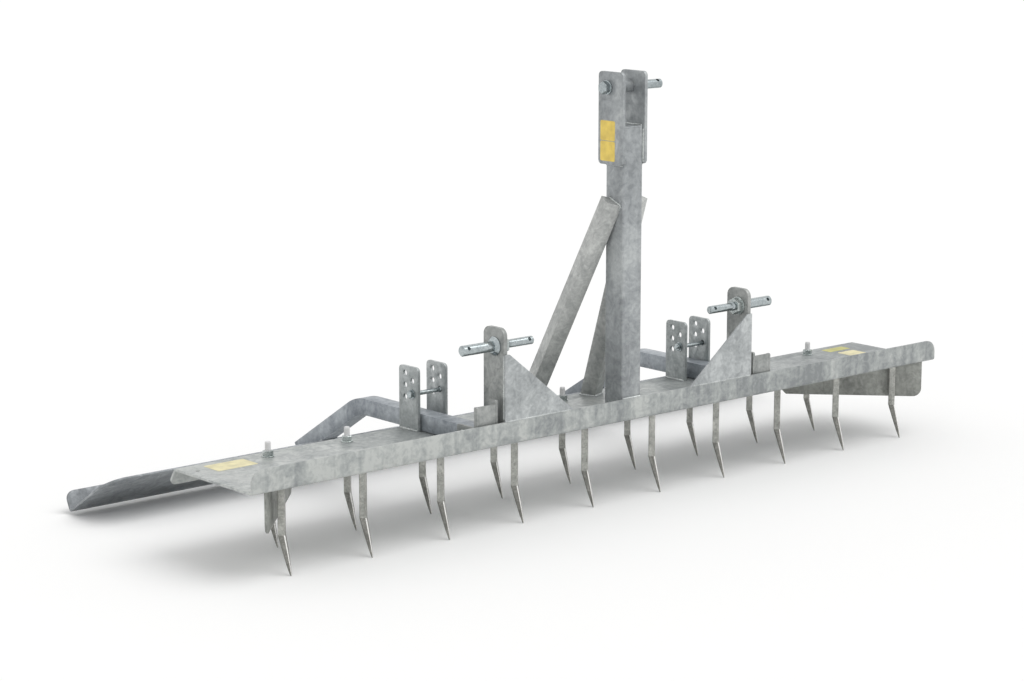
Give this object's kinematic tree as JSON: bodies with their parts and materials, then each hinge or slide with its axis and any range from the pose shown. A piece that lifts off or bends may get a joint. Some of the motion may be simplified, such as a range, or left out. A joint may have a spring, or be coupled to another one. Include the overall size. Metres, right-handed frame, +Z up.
{
  "type": "arena leveller",
  "caption": "Tractor-mounted arena leveller: galvanised folded beam with bent tines, mast headstock, side boards and a levelling board on swinging arms.",
  "frame": {"origin": "middle of the bounding box at ground level", "axes": "+X along the beam to the machine's right seen from the tractor looking back, +Y to the rear, +Z up"},
  "size_m": [2.5, 0.902, 1.163],
  "materials": {
    "galvanised_frame": "hot-dip galvanised, mottled mid grey with drip streaks",
    "galvanised_board": "hot-dip galvanised, darker bluish grey",
    "bright_zinc": "bright zinc plate"
  },
  "bodies": {
    "frame": {"main_beam": "galvanised_frame", "mast": "galvanised_frame", "mast_cap": "galvanised_frame", "ear_left": "galvanised_frame", "ear_right": "galvanised_frame", "brace_left": "galvanised_frame", "brace_right": "galvanised_frame", "link_bracket_left": "galvanised_frame", "link_bracket_right": "galvanised_frame", "gusset_left": "galvanised_frame", "gusset_right": "galvanised_frame", "pivot_lug_left": "galvanised_frame", "pivot_lug_right": "galvanised_frame", "pivot_ear_left": "galvanised_frame", "pivot_ear_right": "galvanised_frame", "pivot_plate_left": "galvanised_frame", "pivot_plate_right": "galvanised_frame", "stop_bar_inner_left": "galvanised_frame", "stop_bar_inner_right": "galvanised_frame", "stop_bar_outer_left": "galvanised_frame", "stop_bar_outer_right": "galvanised_frame", "side_board_left": "galvanised_frame", "side_board_right": "galvanised_frame", "tine_front_01": "bright_zinc", "tine_front_02": "bright_zinc", "tine_front_03": "bright_zinc", "tine_front_04": "bright_zinc", "tine_front_05": "bright_zinc", "tine_front_06": "bright_zinc", "tine_front_07": "bright_zinc", "tine_front_08": "bright_zinc", "tine_front_09": "bright_zinc", "tine_front_10": "bright_zinc", "tine_rear_01": "bright_zinc", "tine_rear_02": "bright_zinc", "tine_rear_03": "bright_zinc", "tine_rear_04": "bright_zinc", "tine_rear_05": "bright_zinc", "tine_rear_06": "bright_zinc", "tine_rear_07": "bright_zinc", "tine_rear_08": "bright_zinc", "tine_rear_09": "bright_zinc", "top_link_pin": "bright_zinc", "spacer_sleeve": "galvanised_frame", "link_pin_left": "bright_zinc", "link_pin_right": "bright_zinc", "link_nut_left": "bright_zinc", "link_nut_right": "bright_zinc", "pivot_pin_left": "bright_zinc", "pivot_pin_right": "bright_zinc", "stop_bolt_left": "bright_zinc", "stop_bolt_right": "bright_zinc"},
    "levelling_body": {"levelling_board": "galvanised_board", "arm_left": "galvanised_board", "arm_right": "galvanised_board"}
  },
  "joints": [
    {"name": "levelling_board_swing", "type": "hinge", "parent": "frame", "child": "levelling_body", "pos_m": [0, -0.391, 0.2555], "axis": [1, 0, 0], "range_deg": [0, 11]}
  ]
}
